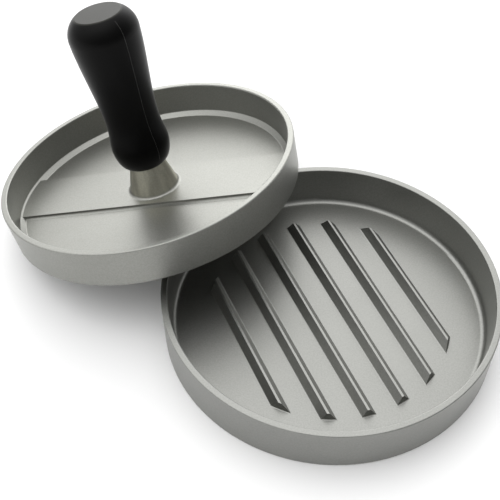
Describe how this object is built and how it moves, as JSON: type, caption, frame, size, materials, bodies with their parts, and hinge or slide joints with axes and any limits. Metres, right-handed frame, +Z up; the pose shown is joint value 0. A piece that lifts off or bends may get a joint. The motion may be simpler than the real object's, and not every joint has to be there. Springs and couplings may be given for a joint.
{
  "type": "patty press",
  "caption": "Round two-piece patty press: a ribbed metal mould and a metal press plate with an upright black handle, leaning on the mould.",
  "frame": {"origin": "centre of the mould's flat underside, on the table", "axes": "+Z up, out of the mould's mouth; the press plate leans on the mould's rim on the -X +Y side"},
  "size_m": [0.1915, 0.1759, 0.0939],
  "materials": {
    "mould_aluminium": "satin die-cast",
    "plate_aluminium": "satin die-cast",
    "black_grip": "satin moulded",
    "insert_brass": "turned",
    "screw_steel": "plain",
    "washer_steel": "plain"
  },
  "bodies": {
    "mould_body": {"mould": "mould_aluminium"},
    "presser": {"press_plate": "plate_aluminium", "handle_grip": "black_grip", "grip_insert": "insert_brass", "handle_screw": "screw_steel", "lock_washer": "washer_steel"}
  },
  "joints": [
    {"name": "presser_lift", "type": "slide", "parent": "mould_body", "child": "presser", "axis": [0, 0, 1], "range_m": [0, 0.12]}
  ]
}
